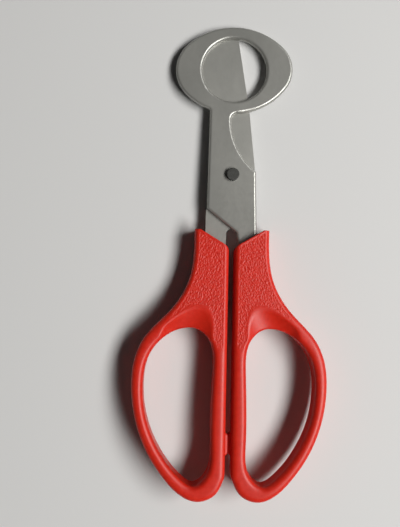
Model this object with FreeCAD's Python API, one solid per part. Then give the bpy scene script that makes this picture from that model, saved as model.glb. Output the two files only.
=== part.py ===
import FreeCAD, Part

import math
import os

# Quail-egg scissors, lying closed and flat on their side.
# Two stamped stainless plates cross at one rivet, and each has a red bow handle moulded
# onto its tang.  The front plate ends in an egg-shaped ring, the rear one in a broad blade
# that shears the cap of the egg off under the ring.
#
# The outlines are drawn about the pivot, +Y towards the ring and +X to the right, in
# millimetres.  Every piece is then moved along Y, so that the origin is the middle of the
# whole tool's underside.  +Z is up and Z = 0 is the surface the tool lies on.

# ---- overall ----
HEAD_TOP = 46.6            # pivot to the ring's top
LOOP_BOTTOM = -98.8        # pivot to the bottom of the finger loops
HANDLE_THICK = 8.5
PIVOT_Y = -(HEAD_TOP + LOOP_BOTTOM) / 2.0

# ---- plates ----
PLATE_THICK = 1.5
PLATE_GAP = 0.1            # running gap between the two plates
MID_Z = HANDLE_THICK / 2.0
RING_Z = MID_Z + PLATE_GAP / 2.0
CUTTER_Z = MID_Z - PLATE_GAP / 2.0 - PLATE_THICK
RING_TOP_Z = RING_Z + PLATE_THICK

EGG_HOLE_R = 10.0
EGG_HOLE_Y = 33.0
EGG_HOLE_EDGE_R = 0.9      # rounding of the hole's upper rim
RING_EDGE_R = 0.8          # rounding of the front plate's upper edge

EGG_LEFT = (-7.5, 32.8, 10.75)     # the head's blunt end: centre x, y and radius
EGG_RIGHT = (8.5, 33.6, 9.7)       # and its pointed end
EGG_TOP_R = 21.8
EGG_LOW_R = 21.0

NECK_LEFT_X = -7.4
NECK_LEFT_R = 1.0
NECK_RIGHT_X = -0.8
NECK_RIGHT_R = 2.0
NECK_HOLLOW_R = 20.3       # the front plate's hollowed right edge
NECK_HOLLOW_END = 231.5    # degrees round from +X, where the hollow meets the shank
SHOULDER_REACH = 0.45      # the shank's right shoulder, at the end of the hollow
SHOULDER_R = 0.6
HEEL_R = 1.1               # small corners of both plates' heels
EASY_R = 20.0              # barely visible turns between nearly straight edges
NAPE_R = 12.0              # bend where the rear blade runs into its shank

BELLY_TOP_R = 9.5          # the cutter's belly, upper and lower turn
BELLY_LOW_R = 14.0
BEVEL_WIDTH = 2.0          # ground bevel, on the cutter's face away from the ring
BEVEL_DEPTH = 1.3

# ---- tangs, inside the handles ----
TANG_END_Y = -41.0
TANG_CORNER_R = 2.2
TANG_HOLE_R = 1.2
TANG_HOLES_Y = (-28.5, -35.5)
TANG_HOLE_X = 5.0

# ---- rivet ----
RIVET_R = 1.4
RIVET_PLAY = 0.05          # radial running play in the rear plate
RIVET_HEAD_R = 1.95
RIVET_HEAD_H = 1.3
RIVET_HEAD_EDGE_R = 0.15
RIVET_TAIL_R = 2.3
RIVET_TAIL_H = 0.8
RIVET_TAIL_EDGE_R = 0.72
RIVET_TAIL_PLAY = 0.05

# ---- handles ----
GAP_TOP = 0.88             # half the gap between the handles, at its top
GAP_BOTTOM = 0.92          # and at its bottom
GAP_END_Y = -88.0          # the gap side is straight down to here
LOOP_EDGE_R = 1.55         # rounding all round the shank and the loop
SHANK_X = 11.4             # the shank's outer side
SHANK_TOP_INNER_Y = -22.4  # its sloping top end, at the gap
SHANK_TOP_OUTER_Y = -16.2  # and at its outer corner
SHANK_INNER_CORNER_R = 1.0
SHANK_OUTER_CORNER_R = 1.4
SHANK_OVERRUN = -12.0      # the shank is drawn up to here, then cut off along its end

DISH_X = 11.6              # thumb dish over the loop's top, sunk into both faces
DISH_Y = -49.5
DISH_R = 8.0
DISH_DEPTH = 2.3

STOP_Y = -82.0             # stop bumps that meet when the handles close
STOP_BASE = 7.0
STOP_TIP = 5.6
STOP_HEIGHT = 3.6
STOP_ROOT = 1.5            # how deep a bump reaches into its handle
STOP_CLEAR = 0.04          # each bump stops this far from the middle plane

END_SLACK = 0.02           # the end's cutting plate stands this clear of the sides

CUT_MARGIN = 1.0           # how far cutting shapes stand out of what they cut
FLAT = 1e-4                # an edge this level lies in a plane


def vec(x, y, z=0.0):
    return FreeCAD.Vector(x, y, z)


def line(a, b):
    return Part.LineSegment(vec(*a), vec(*b)).toShape()


def spline(points, start, end):
    """A smooth edge through points, leaving along start and arriving along end."""
    curve = Part.BSplineCurve()
    curve.interpolate(Points=[vec(*p) for p in points], InitialTangent=vec(*start),
                      FinalTangent=vec(*end))
    return curve.toShape()


def closed_spline(points):
    curve = Part.BSplineCurve()
    curve.interpolate(Points=[vec(*p) for p in points], PeriodicFlag=True)
    return curve.toShape()


def unit(a, b):
    length = math.hypot(b[0] - a[0], b[1] - a[1])
    return (b[0] - a[0]) / length, (b[1] - a[1]) / length


def bearing(centre, point):
    """Direction of point from centre, in degrees from 0 to 360."""
    return math.degrees(math.atan2(point[1] - centre[1], point[0] - centre[0])) % 360.0


def on_circle(centre, radius, degrees):
    angle = math.radians(degrees)
    return (centre[0] + radius * math.cos(angle), centre[1] + radius * math.sin(angle))


def arc(centre, radius, start, end):
    """Arc about centre from one angle to another, both in degrees."""
    points = [on_circle(centre, radius, a) for a in (start, (start + end) / 2.0, end)]
    return Part.Arc(*[vec(*p) for p in points]).toShape()


def rounded_path(points):
    """Straight edges through (x, y, radius) points, with an arc at each inner point."""
    edges = []
    here = points[0][:2]
    for before, corner, after in zip(points, points[1:], points[2:]):
        radius = corner[2]
        back = unit(corner, before)
        ahead = unit(corner, after)
        cosine = back[0] * ahead[0] + back[1] * ahead[1]
        half = math.acos(cosine) / 2.0
        reach = radius / math.tan(half)
        start = (corner[0] + back[0] * reach, corner[1] + back[1] * reach)
        end = (corner[0] + ahead[0] * reach, corner[1] + ahead[1] * reach)
        middle = unit((0, 0), (back[0] + ahead[0], back[1] + ahead[1]))
        bulge = radius / math.sin(half) - radius
        top = (corner[0] + middle[0] * bulge, corner[1] + middle[1] * bulge)
        edges.append(line(here, start))
        edges.append(Part.Arc(vec(*start), vec(*top), vec(*end)).toShape())
        here = end
    edges.append(line(here, points[-1][:2]))
    return edges


def slab(edges, z, thick):
    """The closed outline made by edges, as a plate from z up."""
    face = Part.Face(Part.Wire(Part.__sortEdges__(edges)))
    plate = face.extrude(vec(0, 0, thick))
    plate.translate(vec(0, 0, z))
    return plate


def level_edges(shape, z):
    """The edges that lie wholly in the plane at height z."""
    def flat(edge):
        box = edge.BoundBox
        return abs(box.ZMin - z) < FLAT and abs(box.ZMax - z) < FLAT
    return [edge for edge in shape.Edges if flat(edge)]


def cutting_slab(edges):
    """The closed outline made by edges, through the whole thickness of the tool."""
    return slab(edges, -CUT_MARGIN, HANDLE_THICK + 2.0 * CUT_MARGIN)


def drill(x, y, radius):
    return Part.makeCylinder(radius, HANDLE_THICK + 2.0 * CUT_MARGIN, vec(x, y, -CUT_MARGIN))


def one_solid(shape):
    """The single solid of a boolean's result, with split faces joined again."""
    shape = shape.removeSplitter()
    if len(shape.Solids) != 1 or not shape.isValid():
        raise ValueError("expected one valid solid, got %d" % len(shape.Solids))
    return shape.Solids[0]


def mirror_x(shape):
    return shape.mirror(vec(0, 0), vec(1, 0))


# ---------------------------------------------------------------- front plate
def touching_centre(left, right, big_r, side):
    """Centre of the large arc that both end circles of the egg touch from inside."""
    span = math.hypot(right[0] - left[0], right[1] - left[1])
    along = unit(left, right)
    across = (-along[1] * side, along[0] * side)
    to_left = big_r - left[2]
    to_right = big_r - right[2]
    ahead = (to_left ** 2 - to_right ** 2 + span ** 2) / (2.0 * span)
    off = math.sqrt(to_left ** 2 - ahead ** 2)
    return (left[0] + along[0] * ahead + across[0] * off, left[1] + along[1] * ahead + across[1] * off)


def ring_outline():
    """Egg-shaped head of four arcs, hollowed neck, shank with its slanting heel, and tang."""
    top_centre = touching_centre(EGG_LEFT, EGG_RIGHT, EGG_TOP_R, -1)
    low_centre = touching_centre(EGG_LEFT, EGG_RIGHT, EGG_LOW_R, 1)
    left_top = bearing(top_centre, EGG_LEFT)
    right_top = bearing(top_centre, EGG_RIGHT)
    left_low = bearing(low_centre, EGG_LEFT)
    right_low = bearing(low_centre, EGG_RIGHT)

    def neck_corner(x, radius):
        """Centre of the small arc between an upright edge's side and the head's lower arc."""
        drop = math.sqrt((EGG_LOW_R + radius) ** 2 - (x - low_centre[0]) ** 2)
        return (x, low_centre[1] - drop)

    left_corner = neck_corner(NECK_LEFT_X - NECK_LEFT_R, NECK_LEFT_R)
    right_corner = neck_corner(NECK_RIGHT_X + NECK_RIGHT_R, NECK_RIGHT_R)
    hollow_centre = (NECK_RIGHT_X + NECK_HOLLOW_R, right_corner[1])

    head = [
        arc(left_corner, NECK_LEFT_R, 0.0, bearing(left_corner, low_centre)),
        arc(low_centre, EGG_LOW_R, bearing(low_centre, left_corner), left_low),
        arc(EGG_LEFT, EGG_LEFT[2], left_low, left_top),
        arc(top_centre, EGG_TOP_R, left_top, right_top),
        arc(EGG_RIGHT, EGG_RIGHT[2], right_top, right_low - 360.0),
        arc(low_centre, EGG_LOW_R, right_low, bearing(low_centre, right_corner)),
        arc(right_corner, NECK_RIGHT_R, bearing(right_corner, low_centre), 180.0),
        arc(hollow_centre, NECK_HOLLOW_R, 180.0, NECK_HOLLOW_END),
    ]
    hollow_end = on_circle(hollow_centre, NECK_HOLLOW_R, NECK_HOLLOW_END)
    shoulder = on_circle(hollow_end, SHOULDER_REACH, NECK_HOLLOW_END + 90.0)
    tail = rounded_path([hollow_end, shoulder + (SHOULDER_R,), (7.85, -22.0, EASY_R),
                         (8.2, TANG_END_Y, TANG_CORNER_R), (2.3, TANG_END_Y, TANG_CORNER_R),
                         (1.85, -21.4, EASY_R), (1.45, -17.8, HEEL_R), (-7.75, -10.6, HEEL_R),
                         (NECK_LEFT_X, left_corner[1])])
    return head + tail


def make_ring_blade():
    plate = slab(ring_outline(), RING_Z, PLATE_THICK)
    plate = plate.makeFillet(RING_EDGE_R, level_edges(plate, RING_TOP_Z))
    egg_hole = drill(0, EGG_HOLE_Y, EGG_HOLE_R)
    plate = plate.cut(egg_hole)
    rim = [edge for edge in level_edges(plate, RING_TOP_Z)
           if abs(edge.Length - 2 * math.pi * EGG_HOLE_R) < 0.01]
    plate = plate.makeFillet(EGG_HOLE_EDGE_R, rim)
    plate = plate.cut(drill(0, 0, RIVET_R))
    for y in TANG_HOLES_Y:
        plate = plate.cut(drill(TANG_HOLE_X, y, TANG_HOLE_R))
    return one_solid(plate)


# ---------------------------------------------------------------- rear plate
def cutter_outline():
    """Broad belly-edged blade, straight back, heel and tang; returned as edge and remainder."""
    tip = (0.9, 44.5)
    heel = (-6.7, 19.6)
    belly = rounded_path([tip, (-12.0, 43.2, BELLY_TOP_R), (-12.3, 29.8, BELLY_LOW_R), heel])
    rest = rounded_path([heel, (-7.0, 13.0, NAPE_R), (-8.0, -11.0, EASY_R),
                         (-8.2, TANG_END_Y, TANG_CORNER_R), (-2.3, TANG_END_Y, TANG_CORNER_R),
                         (-1.7, -21.6, EASY_R), (-1.6, -17.4, HEEL_R), (6.65, -10.9, HEEL_R),
                         (7.0, 1.7, EASY_R), (4.9, 20.6, 3.0 * EASY_R), tip])
    return belly, rest


def make_cutting_blade():
    belly, rest = cutter_outline()
    plate = slab(belly + rest, CUTTER_Z, PLATE_THICK)
    middles = [edge.valueAt((edge.FirstParameter + edge.LastParameter) / 2.0) for edge in belly]

    def on_belly(edge):
        middle = edge.valueAt((edge.FirstParameter + edge.LastParameter) / 2.0)
        return any(math.hypot(middle.x - m.x, middle.y - m.y) < 1e-3 for m in middles)

    sharp = [edge for edge in level_edges(plate, CUTTER_Z) if on_belly(edge)]
    plate = plate.makeChamfer(BEVEL_DEPTH, BEVEL_WIDTH, sharp)
    plate = plate.cut(drill(0, 0, RIVET_R + RIVET_PLAY))
    for y in TANG_HOLES_Y:
        plate = plate.cut(drill(-TANG_HOLE_X, y, TANG_HOLE_R))
    return one_solid(plate)


# ---------------------------------------------------------------- rivet
def make_rivet():
    """Flat cylindrical head in front, shank through both plates, domed tail behind."""
    head = Part.makeCylinder(RIVET_HEAD_R, RIVET_HEAD_H, vec(0, 0, RING_TOP_Z))
    head = head.makeFillet(RIVET_HEAD_EDGE_R, level_edges(head, RING_TOP_Z + RIVET_HEAD_H))
    tail_top = CUTTER_Z - RIVET_TAIL_PLAY
    shank = Part.makeCylinder(RIVET_R, RING_TOP_Z - tail_top, vec(0, 0, tail_top))
    tail = Part.makeCylinder(RIVET_TAIL_R, RIVET_TAIL_H, vec(0, 0, tail_top - RIVET_TAIL_H))
    tail = tail.makeFillet(RIVET_TAIL_EDGE_R, level_edges(tail, tail_top - RIVET_TAIL_H))
    return one_solid(head.fuse(shank).fuse(tail))


# ---------------------------------------------------------------- handles
def loop_outline():
    """Right handle in plan, its shank running on past the sloping end that is cut later."""
    outer = spline([(SHANK_X, SHANK_OVERRUN), (SHANK_X, -23.5), (12.35, -31.0), (14.9, -37.2),
                    (18.7, -42.4), (26.0, -50.4), (28.6, -56.2), (29.5, -64.0), (27.9, -75.6),
                    (24.1, -85.0), (18.95, -92.4), (13.8, -97.2), (9.2, LOOP_BOTTOM), (5.4, -97.9),
                    (2.8, -95.6), (1.4, -92.6), (GAP_BOTTOM, GAP_END_Y)],
                   start=(0, -1.0), end=(0, 1.0))
    gap_side = line((GAP_BOTTOM, GAP_END_Y), (GAP_TOP, SHANK_OVERRUN))
    across = line((GAP_TOP, SHANK_OVERRUN), (SHANK_X, SHANK_OVERRUN))
    return [outer, gap_side, across]


def finger_hole():
    return closed_spline([(12.4, -47.2), (20.1, -50.2), (24.6, -56.2), (26.0, -64.5), (24.4, -75.8),
                          (19.5, -85.9), (14.0, -92.3), (10.4, -94.2), (7.0, -91.8), (5.3, -82.0),
                          (4.95, -60.0), (6.6, -50.4)])


def stop_bump():
    """Trapezoid that stands out of the gap side and meets its twin on the other handle."""
    base = STOP_BASE / 2.0
    tip = STOP_TIP / 2.0
    buried = GAP_BOTTOM + STOP_ROOT
    corners = [(buried, STOP_Y - base), (GAP_BOTTOM, STOP_Y - base), (STOP_CLEAR, STOP_Y - tip),
               (STOP_CLEAR, STOP_Y + tip), (GAP_BOTTOM, STOP_Y + base), (buried, STOP_Y + base)]
    edges = [line(a, b) for a, b in zip(corners, corners[1:] + corners[:1])]
    return slab(edges, MID_Z - STOP_HEIGHT / 2.0, STOP_HEIGHT)


def thumb_dishes():
    """Two balls that hollow the web above the finger hole, one from each face."""
    ball_r = (DISH_R ** 2 + DISH_DEPTH ** 2) / (2.0 * DISH_DEPTH)
    above = ball_r - DISH_DEPTH
    upper = Part.makeSphere(ball_r, vec(DISH_X, DISH_Y, HANDLE_THICK + above))
    lower = Part.makeSphere(ball_r, vec(DISH_X, DISH_Y, -above))
    return [upper, lower]


def shank_end_cap():
    """Block over the shank's sloping end that also takes its two corners round."""
    gap_x = GAP_TOP - END_SLACK
    side_x = SHANK_X + END_SLACK
    gap_low = (gap_x, SHANK_TOP_INNER_Y - 2.0 * SHANK_INNER_CORNER_R)
    side_low = (side_x, SHANK_TOP_OUTER_Y - 2.0 * SHANK_OUTER_CORNER_R)
    end = rounded_path([gap_low, (gap_x, SHANK_TOP_INNER_Y, SHANK_INNER_CORNER_R),
                        (side_x, SHANK_TOP_OUTER_Y, SHANK_OUTER_CORNER_R), side_low])
    corners = [side_low, (side_x + CUT_MARGIN, side_low[1]), (side_x + CUT_MARGIN, 0.0),
               (gap_x - CUT_MARGIN, 0.0), (gap_x - CUT_MARGIN, gap_low[1]), gap_low]
    return cutting_slab(end + [line(a, b) for a, b in zip(corners, corners[1:])])


def make_handle_blank():
    """Right handle, solid through: the tang is taken out of it later."""
    blank = slab(loop_outline(), 0.0, HANDLE_THICK)
    blank = blank.cut(cutting_slab([finger_hole()]))
    faces = level_edges(blank, 0.0) + level_edges(blank, HANDLE_THICK)
    long_edges = [edge for edge in faces if edge.BoundBox.YMin < SHANK_OVERRUN - CUT_MARGIN]
    blank = blank.makeFillet(LOOP_EDGE_R, long_edges)
    for cutter in thumb_dishes() + [shank_end_cap()]:
        blank = blank.cut(cutter)
    return blank.fuse(stop_bump())


def make_handle(plate, mirrored):
    """A handle moulded round the tang of its plate."""
    blank = make_handle_blank()
    if mirrored:
        blank = mirror_x(blank)
    return one_solid(blank.cut(plate))


# ---------------------------------------------------------------- all pieces
def main():
    ring_blade = make_ring_blade()
    cutting_blade = make_cutting_blade()
    pieces = {
        "ring_blade": ring_blade,
        "cutting_blade": cutting_blade,
        "pivot_rivet": make_rivet(),
        "right_handle": make_handle(ring_blade, mirrored=False),
        "left_handle": make_handle(cutting_blade, mirrored=True),
    }
    os.makedirs("parts", exist_ok=True)
    for name, shape in pieces.items():
        shape.translate(vec(0, PIVOT_Y, 0))
        shape.exportStep("parts/%s.step" % name)
        box = shape.BoundBox
        print("%-14s volume %7.1f mm3  x %6.2f..%6.2f  y %6.2f..%6.2f  z %5.2f..%5.2f" % (
            name, shape.Volume, box.XMin, box.XMax, box.YMin, box.YMax, box.ZMin, box.ZMax))


if __name__ == "__main__":
    main()
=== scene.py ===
import math

import bpy
import numpy as np
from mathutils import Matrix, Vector, noise


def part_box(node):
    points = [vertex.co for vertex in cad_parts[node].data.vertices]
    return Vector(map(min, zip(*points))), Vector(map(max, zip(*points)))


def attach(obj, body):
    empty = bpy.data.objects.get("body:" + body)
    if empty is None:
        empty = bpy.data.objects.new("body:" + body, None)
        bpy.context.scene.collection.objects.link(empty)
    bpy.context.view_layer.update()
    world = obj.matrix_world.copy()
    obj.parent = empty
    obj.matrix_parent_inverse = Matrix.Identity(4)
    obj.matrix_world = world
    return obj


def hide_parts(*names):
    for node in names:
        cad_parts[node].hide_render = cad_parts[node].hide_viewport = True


# Quail egg scissors, closed and lying on a table: two stainless plates on one rivet, each with
# a red moulded handle.  The plates and the rivet are the frame's own pieces with new materials.
# The handles are made afresh as closed surfaces, with rounded arms, thumb scoops and a leather
# grain in relief.  Lengths are in millimetres, but for the studio lights, which are in metres.

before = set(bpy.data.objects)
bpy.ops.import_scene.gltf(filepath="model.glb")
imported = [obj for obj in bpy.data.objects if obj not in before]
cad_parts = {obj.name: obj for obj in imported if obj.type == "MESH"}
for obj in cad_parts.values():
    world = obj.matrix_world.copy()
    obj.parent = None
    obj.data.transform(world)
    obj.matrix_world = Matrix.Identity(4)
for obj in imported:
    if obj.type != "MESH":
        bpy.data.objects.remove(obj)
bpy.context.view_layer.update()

MM = 0.001

# ---- camera: above the tool, a little tilted ----
CAMERA_AT = (-15.575, -12.311, 205.0)
CAMERA_TURN = (3.062, -1.795, 1.216)   # degrees about x, y and z
SENSOR = 36.0
LENS = 44.61
CLIP_START = 10.0

# ---- table ----
TABLE_SIZE = 1500.0
TABLE_AT = 9.6                         # it touches the shanks' ends here
TABLE_TILT = 2.5                       # degrees
TABLE_DROP = 0.1                       # clearance under the tool

# ---- room: dim overhead, lighter towards the horizon ----
ROOM_LEVEL = 0.025
HORIZON_LEVEL = 0.45
HORIZON_TOP = 0.22                     # sine of the height at which the horizon's light ends
LIGHT_COLOR = (1.0, 0.99, 0.97)        # of the room and the key light

# ---- studio lights: place, aim and size in metres, then watts ----
KEY = ((0.60, -0.14, 0.80), (0.03, 0.03, 0.0), (0.85, 0.30), 7.0)
KEY_SPREAD = 130.0                     # degrees
PANEL = ((0.15, 0.35, 1.0), (0.0, 0.0, 0.0), (0.7, 0.7), 0.03)
EDGE = ((0.50, 0.42, 0.62), (0.0, 0.04, 0.0), (0.35, 0.16), 1.2)

# ---- handle section ----
STEP = 0.31    # size of the handle mesh's quads, halved under the grain
MARGIN = 1.0                           # room round the handle in its outlines' grid
SLICE_Z = 2.2                          # a level where the handles' walls are upright
OUTER_ROUND = (2.2, 1.4)               # width and height of the rounding along the outer side
HOLE_ROUND = (2.0, 1.5)                # and along the finger hole
RIDGE_BLEND = 0.3                      # softening where the two roundings meet
END_Y = (3.7, 9.9)                     # the shank's sloping end, at the gap and at its outer side
END_X = (0.88, 11.4)
END_SLOPE = (END_Y[1] - END_Y[0]) / (END_X[1] - END_X[0])
END_TAKEN = 2.0                        # the outline is kept up to this far below the end
END_OVERRUN = 4.0                      # and runs on straight to this far past it
END_ROUND = (1.2, 0.35)                # rounding of the end, at mid height and at the top
END_ROUND_POWER = 4                    # how late the rounding tightens on the way up

# ---- thumb scoop: a slanting cylinder, sunk into both faces ----
SCOOP_TOP = (7.9, -15.2)               # where it starts
SCOOP_TURN = -61.0                     # the way it runs, in degrees from +x
SCOOP_DROP = 18.0                      # how steeply it sinks, in degrees
SCOOP_R = 11.0
SCOOP_END = 9.8                        # from this distance on it curves up and out of the handle
SCOOP_LIFT = 0.06                      # how fast it does so
SCOOP_RIM = 0.50                       # rounding of its rim

# ---- closing stop on the handles' inner sides ----
BUMP_Y = -55.9
BUMP_TIP = 2.8                         # half its length at the tip
BUMP_SLOPE = 0.8                       # widening of its base
BUMP_HEIGHT = 1.8                      # half its height
BUMP_CLEAR = 0.04                      # it stops this far from the middle plane
BUMP_ROOT = 2.0                        # and reaches this far into its handle
BUMP_ROUND = 0.2

# ---- leather grain on the shanks' faces: where each range starts and is in full ----
GRAIN_DEPTH = 0.17
GRAIN_CELL = (0.28, 0.54)              # size of its pebbles across and along the shank
GRAIN_LEVELS = (7.0, 1.0, 4.0)         # levels at which the noise is read: swirl, coarse, fine
GRAIN_SWIRL = 0.45                     # frequency of the swirl that bends the pebbles
GRAIN_PUSH = (1.6, -0.8)               # and how far it moves them, in pebbles
GRAIN_FINE = (2.1, 1.9)                # frequency of the fine pebbles between the coarse ones
GRAIN_FINE_SHARE = 0.45
GRAIN_LIMIT = 0.75                     # pebbles are cut off above and below this height
GRAIN_OTHER_SIDE = 200.0               # the lower face takes its grain from this far along
GRAIN_FACE = (0.82, 0.93)              # height over the middle, in half thicknesses
GRAIN_INSET = (1.0, 1.8)               # distance in from the sides
GRAIN_BELOW_END = (0.4, 1.1)
GRAIN_OFF_SCOOP = (0.05, 0.5)
GRAIN_OUTER_FADE = (16.0, 19.5)        # x at which it dies out on the outer arm
GRAIN_INNER_FADE = (24.0, 29.0)        # -y at which it dies out on the inner arm
GRAIN_MATT = 0.3                       # faces with more grain than this get the duller plastic

# ---- numerics of the handle's surface ----
CUT_DIGITS = 3                         # decimals to which the ends of an outline's chords agree
SETTLINGS = (4, 2)                     # rounds of settling, before and after the refining
NEAR = 0.02                            # distance over which a gradient is taken
FLATTEST = 0.05                        # smallest squared gradient that a step divides by
TINY = 1e-9

# ---- finishes: darkest and lightest colour, or least and greatest roughness ----
NOISE_SPAN = (0.3, 0.7)                # the part of a noise's range that a finish spreads over
RED = ((0.55, 0.016, 0.006), (0.62, 0.021, 0.008))
RED_MOTTLE = (900.0, (1.0, 1.0, 1.0), 4.0)    # noises: frequency per metre, stretch, detail
RED_GLOW = 0.25                        # share of light that spreads inside the plastic
RED_GLOW_REACH = (2.5, 0.25, 0.125)    # how far it does so: red, green and blue
RED_SHINE = 0.35
SMOOTH_ROUGHNESS = 0.40
GRAINED_ROUGHNESS = 0.45
ROUGHNESS_SPAN = (0.9, 1.1)            # as shares of a plastic's roughness
STEEL = ((0.85, 0.85, 0.79), (1.12, 1.11, 1.03))     # as shares of a plate's level
STEEL_METALLIC = 0.50
STEEL_ROUGHNESS = (0.28, 0.35)
STEEL_PITS = (1800.0, (1.0, 0.7, 1.0), 5.0)
STEEL_PIT_DEPTH = 0.003
STEEL_CLOUDS = (60.0, (1.0, 0.5, 1.0), 3.0)
FRONT_LEVEL = 0.36                     # how light each plate is; the rear plate's higher level is painted light, for the brighter reflections it shows
REAR_LEVEL_WITH_PAINTED_LIGHT = 0.43
RIVET = ((0.07, 0.07, 0.065), (0.10, 0.10, 0.095))
RIVET_METALLIC = 0.9
RIVET_ROUGHNESS = (0.40, 0.50)
RIVET_PITS = (2500.0, (1.0, 1.0, 1.0), 4.0)
TABLE_COLOR = (0.64, 0.64, 0.635)
TABLE_ROUGHNESS = 0.9


def smooth_step(value, low, high):
    """0 at low, 1 at high, smooth between."""
    t = np.clip((value - low) / (high - low), 0.0, 1.0)
    return t * t * (3.0 - 2.0 * t)


def both(a, b, rounding):
    """Intersection of two solids given by signed distances, with a rounded edge."""
    ra, rb = np.maximum(a + rounding, 0.0), np.maximum(b + rounding, 0.0)
    return np.minimum(np.maximum(a, b), -rounding) + np.hypot(ra, rb)


def either(a, b, rounding):
    """Union of two solids given by signed distances, with a rounded inner corner."""
    return -both(-a, -b, rounding)


def past_end(x, y):
    """How far a point lies beyond the shank's sloping end, measured along y."""
    return y - END_Y[0] - (x - END_X[0]) * END_SLOPE


# ------------------------------------------------------------------ outlines
def section_loops(node, level):
    """Closed outlines of a node's mesh at one height, the longest first, in millimetres."""
    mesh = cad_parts[node].data
    mesh.calc_loop_triangles()
    points = np.array([v.co for v in mesh.vertices]) / MM
    corners = np.array([t.vertices for t in mesh.loop_triangles])
    above = points[corners][:, :, 2] > level
    # each triangle that the level cuts gives a chord between two points of the outline
    chords = {}
    for triangle, sides in zip(corners, above):
        if sides.all() or not sides.any():
            continue
        ends = []
        for k in range(3):
            if sides[k] == sides[(k + 1) % 3]:
                continue
            a, b = points[triangle[k]], points[triangle[(k + 1) % 3]]
            cut = a + (b - a) * ((level - a[2]) / (b[2] - a[2]))
            ends.append((round(float(cut[0]), CUT_DIGITS), round(float(cut[1]), CUT_DIGITS)))
        if ends[0] != ends[1]:
            chords.setdefault(ends[0], set()).add(ends[1])
            chords.setdefault(ends[1], set()).add(ends[0])
    # the chords, end to end, make up the closed loops
    loops = []
    while chords:
        here = start = next(iter(chords))
        loop = [start]
        while chords.get(here):
            there = chords[here].pop()
            chords[there].discard(here)
            if not chords[here]:
                del chords[here]
            here = there
            if here == start:
                break
            loop.append(here)
        chords = {point: ends for point, ends in chords.items() if ends}
        loops.append(np.array(loop))
    loops.sort(key=lambda loop: -np.ptp(loop[:, 1]))
    return loops


def signed_distance(xs, ys, loop):
    """Distance from each grid point to a closed outline, positive inside it."""
    gx, gy = np.meshgrid(xs, ys, indexing="ij")
    nearest = np.full(gx.shape, np.inf)
    inside = np.zeros(gx.shape, bool)
    for a, b in zip(loop, np.roll(loop, -1, axis=0)):
        side = b - a
        along = np.clip(((gx - a[0]) * side[0] + (gy - a[1]) * side[1]) / (side @ side), 0.0, 1.0)
        gap = np.hypot(gx - a[0] - along * side[0], gy - a[1] - along * side[1])
        nearest = np.minimum(nearest, gap)
        if a[1] != b[1]:
            crosses = (a[1] > gy) != (b[1] > gy)
            inside ^= crosses & (gx < a[0] + side[0] * (gy - a[1]) / side[1])
    return np.where(inside, nearest, -nearest)


def straight_ended(loop):
    """The outline with its sloping end taken off, and both sides run on past it."""
    below = past_end(loop[:, 0], loop[:, 1]) < -END_TAKEN
    first = int(np.argmax(below & ~np.roll(below, 1)))
    kept = np.roll(loop, -first, axis=0)[np.roll(below, -first)]
    ends = [(x, END_Y[1] + END_OVERRUN) for x in END_X]
    if kept[0][0] > kept[-1][0]:
        ends.reverse()
    return np.vstack([ends[0], kept, ends[1]])


class Field:
    """A plane field on a grid, read smoothly between its points."""

    def __init__(self, xs, ys, values):
        self.low = np.array([xs[0], ys[0]])
        self.step = xs[1] - xs[0]
        self.values = values

    def at(self, x, y):
        u = (x - self.low[0]) / self.step
        v = (y - self.low[1]) / self.step
        i = np.clip(u.astype(int), 0, self.values.shape[0] - 2)
        j = np.clip(v.astype(int), 0, self.values.shape[1] - 2)
        u, v = u - i, v - j
        low = self.values[i, j] * (1 - u) + self.values[i + 1, j] * u
        high = self.values[i, j + 1] * (1 - u) + self.values[i + 1, j + 1] * u
        return low * (1 - v) + high * v


# ------------------------------------------------------------------ the handle's surface
outer, hole = section_loops("right_handle", SLICE_Z)[:2]
handle_low, handle_high = (np.array(corner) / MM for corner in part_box("right_handle"))
MIDDLE = (handle_low[2] + handle_high[2]) / 2.0     # level of the handles' middle plane
HALF = (handle_high[2] - handle_low[2]) / 2.0       # half their thickness

plane_x = np.arange(handle_low[0] - MARGIN, handle_high[0] + MARGIN, STEP / 2.0)
plane_y = np.arange(handle_low[1] - MARGIN, handle_high[1] + 2.0 * MARGIN, STEP / 2.0)
outer_field = Field(plane_x, plane_y, signed_distance(plane_x, plane_y, straight_ended(outer)))
hole_field = Field(plane_x, plane_y, -signed_distance(plane_x, plane_y, hole))


def rounded_slab(depth, z, rounding):
    """Signed distance to a slab with upright sides and rounded edges, depth in from its side."""
    reach, rise = rounding
    up = np.maximum((np.abs(z - MIDDLE) - HALF) / rise + 1.0, 0.0)
    across = np.maximum(1.0 - depth / reach, 0.0)
    corner = (np.hypot(across, up) - 1.0) * reach
    return np.where((up > 0.0) & (across > 0.0), corner, np.maximum(-depth, (up - 1.0) * reach))


def scoop_distance(x, y, z):
    """Signed distance into the thumb scoops' cutter, positive where it cuts."""
    turn, drop = math.radians(SCOOP_TURN), math.radians(SCOOP_DROP)
    east, north = x - SCOOP_TOP[0], y - SCOOP_TOP[1]
    along = east * math.cos(turn) + north * math.sin(turn)
    aside = north * math.cos(turn) - east * math.sin(turn)
    level = np.abs(z - MIDDLE) - HALF
    over = along * math.sin(drop) + level * math.cos(drop)
    lift = SCOOP_LIFT * np.maximum(along - SCOOP_END, 0.0) ** 2
    return SCOOP_R - np.hypot(aside, over - SCOOP_R) - lift


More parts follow.
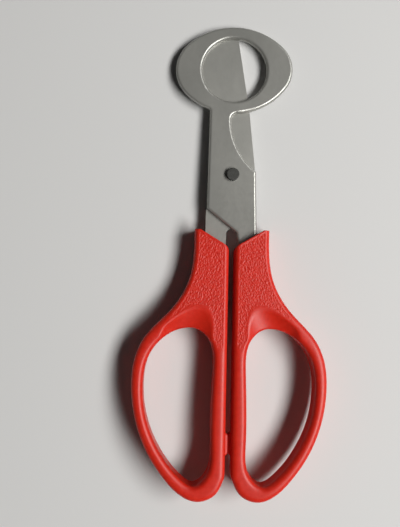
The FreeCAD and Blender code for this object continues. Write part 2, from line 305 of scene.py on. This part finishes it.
def handle_distance(x, y, z):
    """Roughly the signed distance to the right handle's surface, negative inside."""
    solid = both(rounded_slab(outer_field.at(x, y), z, OUTER_ROUND),
                 rounded_slab(hole_field.at(x, y), z, HOLE_ROUND), RIDGE_BLEND)
    up = np.clip(np.abs(z - MIDDLE) / HALF, 0.0, 1.0) ** END_ROUND_POWER
    rounding = END_ROUND[0] + (END_ROUND[1] - END_ROUND[0]) * up
    solid = both(solid, past_end(x, y) / math.hypot(1.0, END_SLOPE), rounding)
    solid = both(solid, scoop_distance(x, y, z), SCOOP_RIM)
    bump = both(np.abs(y - BUMP_Y) - BUMP_TIP - (x - BUMP_CLEAR) * BUMP_SLOPE,
                BUMP_CLEAR - x, BUMP_ROUND)
    bump = both(bump, np.abs(z - MIDDLE) - BUMP_HEIGHT, BUMP_ROUND)
    bump = np.maximum(bump, x - BUMP_ROOT)
    return either(solid, bump, BUMP_ROUND)


def surface(distance, low, high, step):
    """Quads over the zero surface of a distance function (one vertex for each crossed cell)."""
    axes = [np.arange(a, b + step, step) for a, b in zip(low, high)]
    grid = np.meshgrid(*axes, indexing="ij")
    values = distance(*grid)
    inside = values < 0.0
    shape = np.array(values.shape) - 1
    total = np.zeros((*shape, 3))
    count = np.zeros(shape)
    # a grid edge that crosses the surface gives its crossing to the four cells round it
    for axis in range(3):
        ahead = [slice(None)] * 3
        behind = [slice(None)] * 3
        ahead[axis], behind[axis] = slice(1, None), slice(None, -1)
        a, b = values[tuple(behind)], values[tuple(ahead)]
        crossed = (a < 0.0) != (b < 0.0)
        part = np.where(crossed, a / np.where(crossed, a - b, 1.0), 0.0)
        place = np.stack([g[tuple(behind)] for g in grid], axis=-1)
        place[..., axis] += part * step
        place *= crossed[..., None]
        others = [k for k in range(3) if k != axis]
        for i in (0, 1):
            for j in (0, 1):
                window = [slice(None)] * 3
                window[others[0]] = slice(i, i + shape[others[0]])
                window[others[1]] = slice(j, j + shape[others[1]])
                total += place[tuple(window)]
                count += crossed[tuple(window)]
    used = count > 0
    number = np.full(shape, -1)
    number[used] = np.arange(used.sum())
    points = total[used] / count[used][:, None]
    quads = []
    # and a quad joins the vertices of those four cells, facing outwards
    for axis in range(3):
        others = [k for k in range(3) if k != axis]
        ahead = [slice(1, -1)] * 3
        behind = [slice(1, -1)] * 3
        ahead[axis], behind[axis] = slice(1, None), slice(None, -1)
        entering = inside[tuple(ahead)] & ~inside[tuple(behind)]
        leaving = ~inside[tuple(ahead)] & inside[tuple(behind)]
        for mask, turn in ((entering, -1), (leaving, 1)):
            cell = np.argwhere(mask)
            cell[:, others[0]] += 1
            cell[:, others[1]] += 1
            ring = []
            for i, j in ((0, 0), (1, 0), (1, 1), (0, 1)):
                near = cell.copy()
                near[:, others[0]] -= 1 - i
                near[:, others[1]] -= 1 - j
                ring.append(number[tuple(near.T)])
            # seen along y, the two other axes lie the other way round
            turned = -turn if axis == 1 else turn
            quads.append(np.stack(ring[::turned], axis=1))
    return points, np.vstack(quads)


def gradient(points):
    """The gradient of the handle's distance function at some points."""
    parts = []
    for axis in range(3):
        move = np.zeros(3)
        move[axis] = NEAR
        change = handle_distance(*(points + move).T) - handle_distance(*(points - move).T)
        parts.append(change / (2.0 * NEAR))
    return np.stack(parts, axis=1)


def grain_height(x, y):
    """Height of the leather grain at one point of a shank's face, above or below its mean."""
    u, v = x / GRAIN_CELL[0], y / GRAIN_CELL[1]
    swirl_z, coarse_z, fine_z = GRAIN_LEVELS
    swirl = noise.noise(Vector((u * GRAIN_SWIRL, v * GRAIN_SWIRL, swirl_z)))
    coarse = noise.noise(Vector((u + GRAIN_PUSH[0] * swirl, v + GRAIN_PUSH[1] * swirl, coarse_z)))
    fine = noise.noise(Vector((u * GRAIN_FINE[0], v * GRAIN_FINE[1], fine_z)))
    return coarse + GRAIN_FINE_SHARE * fine


def settled(points, rounds):
    """The points moved onto the handle's surface, by no more than half a step in a round."""
    for _ in range(rounds):
        slope = gradient(points)
        length = np.maximum((slope ** 2).sum(axis=1), FLATTEST)
        shift = slope * (handle_distance(*points.T) / length)[:, None]
        reach = np.linalg.norm(shift, axis=1)[:, None]
        points = points - shift * np.minimum(1.0, 0.5 * STEP / np.maximum(reach, TINY))
    return points


def grain_mask(points):
    """How much grain there is at some points, from 0 to 1."""
    x, y, z = points.T
    depth = np.minimum(outer_field.at(x, y), hole_field.at(x, y))
    clear = -scoop_distance(x, y, np.full(x.shape, handle_high[2]))
    mask = smooth_step(np.abs(z - MIDDLE), GRAIN_FACE[0] * HALF, GRAIN_FACE[1] * HALF)
    mask = mask * smooth_step(depth, *GRAIN_INSET)
    mask = mask * smooth_step(-past_end(x, y), *GRAIN_BELOW_END)
    mask = mask * smooth_step(clear, *GRAIN_OFF_SCOOP)
    mask = mask * (1.0 - smooth_step(x, *GRAIN_OUTER_FADE))
    return mask * (1.0 - smooth_step(-y, *GRAIN_INNER_FADE))


def refined(points, quads, chosen):
    """Each chosen quad cut in four; its neighbours take in the new points on their sides."""
    faces = []
    points = list(points)
    halves = {}

    def half(a, b):
        key = (min(a, b), max(a, b))
        if key not in halves:
            halves[key] = len(points)
            points.append((points[a] + points[b]) / 2.0)
        return halves[key]

    for quad in quads[chosen]:
        mids = [half(quad[k], quad[(k + 1) % 4]) for k in range(4)]
        centre = len(points)
        points.append(sum(points[corner] for corner in quad) / 4.0)
        faces += [(quad[k], mids[k], centre, mids[k - 1]) for k in range(4)]
    for quad in quads[~chosen]:
        face = []
        for k in range(4):
            a, b = quad[k], quad[(k + 1) % 4]
            face.append(a)
            if (min(a, b), max(a, b)) in halves:
                face.append(halves[(min(a, b), max(a, b))])
        faces.append(tuple(face))
    return np.array(points), faces


points, quads = surface(handle_distance, handle_low - 2.0 * STEP, handle_high + 2.0 * STEP, STEP)
points = settled(points, SETTLINGS[0])
points, faces = refined(points, quads, (grain_mask(points)[quads] > 0.0).any(axis=1))
points = settled(points, SETTLINGS[1])
mask = grain_mask(points)
heights = np.zeros(len(points))
for k in np.nonzero(mask > 0.0)[0]:
    x, y, z = points[k]
    heights[k] = grain_height(x, y + (GRAIN_OTHER_SIDE if z < MIDDLE else 0.0))
normals = gradient(points)
normals /= np.maximum(np.linalg.norm(normals, axis=1), TINY)[:, None]
sunk = mask * GRAIN_DEPTH * (GRAIN_LIMIT - np.clip(heights, -GRAIN_LIMIT, GRAIN_LIMIT))
points = np.clip(points - normals * sunk[:, None], handle_low, handle_high)


def mesh_object(name, points, faces):
    """A smooth shaded object from points in millimetres."""
    mesh = bpy.data.meshes.new(name)
    mesh.from_pydata((points * MM).tolist(), [], faces)
    mesh.validate()
    mesh.shade_smooth()
    made = bpy.data.objects.new(name, mesh)
    bpy.context.scene.collection.objects.link(made)
    return made


grained = [int(mask[list(face)].min() > GRAIN_MATT) for face in faces]
right = mesh_object("moulded_right_handle", points, faces)
left = mesh_object("moulded_left_handle", points * (-1.0, 1.0, 1.0), [face[::-1] for face in faces])


# ------------------------------------------------------------------ materials
def middle(pair):
    """The plain value that stands for a pair wherever a noise isn't followed."""
    return np.mean(pair, axis=0).tolist()


def material(name, color, metallic, roughness):
    """A new plain material, with the nodes, links and shader that its noises need."""
    made = bpy.data.materials.new(name)
    made.use_nodes = True
    nodes, links = made.node_tree.nodes, made.node_tree.links
    shader = nodes["Principled BSDF"]
    shader.inputs["Base Color"].default_value = (*color, 1.0)
    shader.inputs["Metallic"].default_value = metallic
    shader.inputs["Roughness"].default_value = roughness
    return made, nodes, links, shader


def place_noise(nodes, links, scale, stretch, detail):
    """Noise over the piece's own coordinates, stretched along the axes."""
    coords = nodes.new("ShaderNodeTexCoord")
    mapping = nodes.new("ShaderNodeMapping")
    mapping.inputs["Scale"].default_value = stretch
    texture = nodes.new("ShaderNodeTexNoise")
    texture.inputs["Scale"].default_value = scale
    texture.inputs["Detail"].default_value = detail
    links.new(coords.outputs["Object"], mapping.inputs["Vector"])
    links.new(mapping.outputs["Vector"], texture.inputs["Vector"])
    return texture.outputs["Fac"]


def roughened(nodes, links, source, span, shader):
    """Let a noise vary the roughness over a span."""
    ramp = nodes.new("ShaderNodeMapRange")
    ramp.inputs["From Min"].default_value = NOISE_SPAN[0]
    ramp.inputs["From Max"].default_value = NOISE_SPAN[1]
    ramp.inputs["To Min"].default_value = span[0]
    ramp.inputs["To Max"].default_value = span[1]
    links.new(source, ramp.inputs["Value"])
    links.new(ramp.outputs["Result"], shader.inputs["Roughness"])


def tinted(nodes, links, source, pair, shader):
    """Let a noise vary the colour between two colours."""
    ramp = nodes.new("ShaderNodeValToRGB")
    for element, position, color in zip(ramp.color_ramp.elements, NOISE_SPAN, pair):
        element.position = position
        element.color = (*color, 1.0)
    links.new(source, ramp.inputs["Fac"])
    links.new(ramp.outputs["Color"], shader.inputs["Base Color"])


def pitted(nodes, links, source, depth, shader):
    """Let a noise disturb the surface a little."""
    bump = nodes.new("ShaderNodeBump")
    bump.inputs["Distance"].default_value = depth * MM
    bump.inputs["Strength"].default_value = 1.0
    links.new(source, bump.inputs["Height"])
    links.new(bump.outputs["Normal"], shader.inputs["Normal"])


def plastic(name, roughness):
    """Red moulded plastic that light enters a little."""
    made, nodes, links, shader = material(name, middle(RED), 0.0, roughness)
    shader.inputs["Subsurface Weight"].default_value = RED_GLOW
    shader.inputs["Subsurface Radius"].default_value = RED_GLOW_REACH
    shader.inputs["Subsurface Scale"].default_value = MM
    shader.inputs["Specular IOR Level"].default_value = RED_SHINE
    mottle = place_noise(nodes, links, *RED_MOTTLE)
    tinted(nodes, links, mottle, RED, shader)
    roughened(nodes, links, mottle, [share * roughness for share in ROUGHNESS_SPAN], shader)
    return made


def tumbled_steel(name, level):
    """Stainless steel with a fine tumbled finish; level sets how light it is."""
    pair = np.array(STEEL) * level
    made, nodes, links, shader = material(name, middle(pair), STEEL_METALLIC, middle(STEEL_ROUGHNESS))
    pits = place_noise(nodes, links, *STEEL_PITS)
    clouds = place_noise(nodes, links, *STEEL_CLOUDS)
    tinted(nodes, links, clouds, pair, shader)
    roughened(nodes, links, pits, STEEL_ROUGHNESS, shader)
    pitted(nodes, links, pits, STEEL_PIT_DEPTH, shader)
    return made


def dark_steel(name):
    """The rivet's dull dark steel."""
    made, nodes, links, shader = material(name, middle(RIVET), RIVET_METALLIC, middle(RIVET_ROUGHNESS))
    pits = place_noise(nodes, links, *RIVET_PITS)
    tinted(nodes, links, pits, RIVET, shader)
    roughened(nodes, links, pits, RIVET_ROUGHNESS, shader)
    return made


def wear(obj, made):
    """Give a piece one material in place of all it had."""
    obj.data.materials.clear()
    obj.data.materials.append(made)


red = plastic("red_plastic", SMOOTH_ROUGHNESS)
grained_red = plastic("grained_red_plastic", GRAINED_ROUGHNESS)
# the two plates are one steel; the rear one is lighter as painted light, not as a different finish
front_steel = tumbled_steel("front_steel", FRONT_LEVEL)
rear_steel = tumbled_steel("rear_steel", REAR_LEVEL_WITH_PAINTED_LIGHT)

for node, finish in (("ring_blade", front_steel), ("cutting_blade", rear_steel)):
    wear(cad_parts[node], finish)
wear(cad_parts["pivot_rivet"], dark_steel("rivet_steel"))
for handle, node, body in ((right, "right_handle", "ring_half"), (left, "left_handle", "cutter_half")):
    wear(handle, red)
    handle.data.materials.append(grained_red)
    handle.data.polygons.foreach_set("material_index", grained)
    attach(handle, body)
    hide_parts(node)

# ------------------------------------------------------------------ floor, light and camera
# The steel head outweighs the handles, so the tool lies tipped onto it: the table touches the
# shanks' upper ends and almost the cutter's tip, and falls away under the finger loops.
bpy.ops.mesh.primitive_plane_add(size=TABLE_SIZE * MM, location=(0.0, TABLE_AT * MM, -TABLE_DROP * MM))
floor = bpy.context.object
floor.rotation_euler = (math.radians(TABLE_TILT), 0.0, 0.0)
floor.name = "table"
wear(floor, material("table", TABLE_COLOR, 0.0, TABLE_ROUGHNESS)[0])


def area_light(name, place, aim, size, watts):
    """A rectangular light that faces the point it is aimed at."""
    data = bpy.data.lights.new(name, "AREA")
    data.shape = "RECTANGLE"
    data.size, data.size_y = size
    data.energy = watts
    lamp = bpy.data.objects.new(name, data)
    bpy.context.scene.collection.objects.link(lamp)
    lamp.location = place
    lamp.rotation_euler = (Vector(aim) - Vector(place)).to_track_quat("-Z", "Y").to_euler()
    return lamp


key = area_light("key", *KEY)
key.data.color = LIGHT_COLOR
key.data.spread = math.radians(KEY_SPREAD)

# two more lights that show only as gloss, on the edges and the plates
for lamp in (area_light("panel", *PANEL), area_light("edge", *EDGE)):
    lamp.visible_diffuse = False

world = bpy.data.worlds.new("studio")
world.use_nodes = True
nodes, links = world.node_tree.nodes, world.node_tree.links
coords = nodes.new("ShaderNodeTexCoord")
height = nodes.new("ShaderNodeSeparateXYZ")
room = nodes.new("ShaderNodeMapRange")
room.interpolation_type = "SMOOTHSTEP"
room.inputs["From Min"].default_value = 0.0
room.inputs["From Max"].default_value = HORIZON_TOP
room.inputs["To Min"].default_value = HORIZON_LEVEL
room.inputs["To Max"].default_value = ROOM_LEVEL
links.new(coords.outputs["Generated"], height.inputs["Vector"])
links.new(height.outputs["Z"], room.inputs["Value"])
links.new(room.outputs["Result"], nodes["Background"].inputs["Strength"])
nodes["Background"].inputs["Color"].default_value = (*LIGHT_COLOR, 1.0)
bpy.context.scene.world = world

camera_data = bpy.data.cameras.new("camera")
camera_data.sensor_fit = "AUTO"
camera_data.sensor_width = SENSOR
camera_data.lens = LENS
camera_data.clip_start = CLIP_START * MM
camera = bpy.data.objects.new("camera", camera_data)
bpy.context.scene.collection.objects.link(camera)
camera.location = [value * MM for value in CAMERA_AT]
camera.rotation_euler = [math.radians(value) for value in CAMERA_TURN]
bpy.context.scene.camera = camera
bpy.context.scene.view_settings.view_transform = "Standard"
